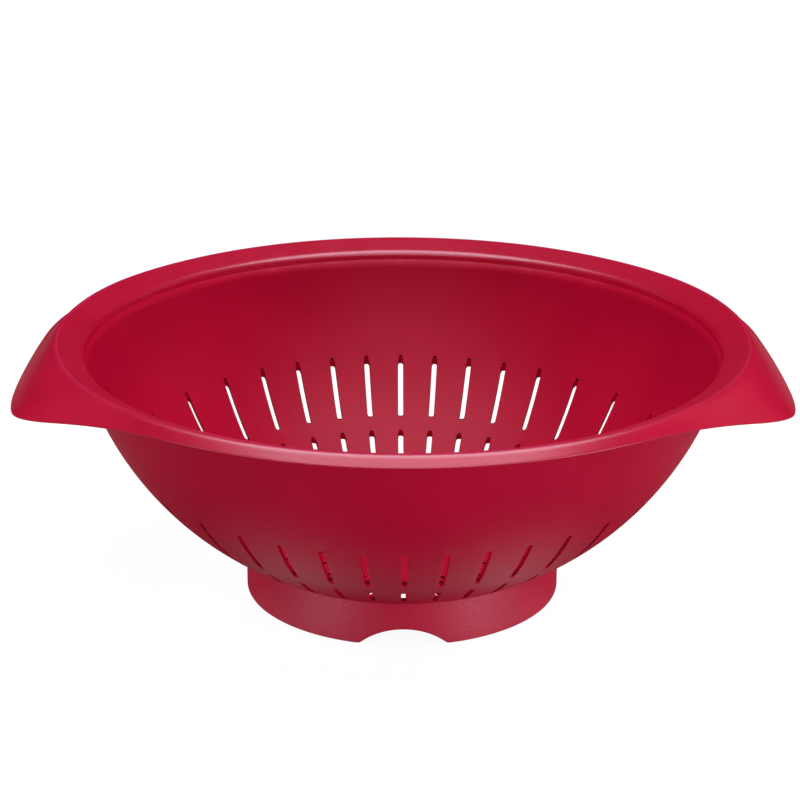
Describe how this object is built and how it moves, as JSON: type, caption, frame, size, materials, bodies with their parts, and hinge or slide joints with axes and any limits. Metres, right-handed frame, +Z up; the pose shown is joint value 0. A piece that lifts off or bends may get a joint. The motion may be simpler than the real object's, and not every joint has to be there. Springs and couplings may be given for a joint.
{
  "type": "plastic colander",
  "caption": "Round moulded plastic colander with fanned drain slots, a raised rim that widens into drooping wing handles, and an arched foot ring.",
  "frame": {"origin": "middle of the foot ring's underside, on the surface that the colander stands on", "axes": "+Z up along the bowl's axis, X through the two handles, the front of the bowl towards -Y"},
  "size_m": [0.3372, 0.3094, 0.1179],
  "materials": {
    "plastic": "satin crimson polypropylene with a fine moulded grain"
  },
  "bodies": {
    "root": {"bowl_wall": "plastic", "bowl_floor": "plastic", "rim": "plastic", "handle_left": "plastic", "handle_right": "plastic", "foot_ring": "plastic"}
  },
  "joints": []
}
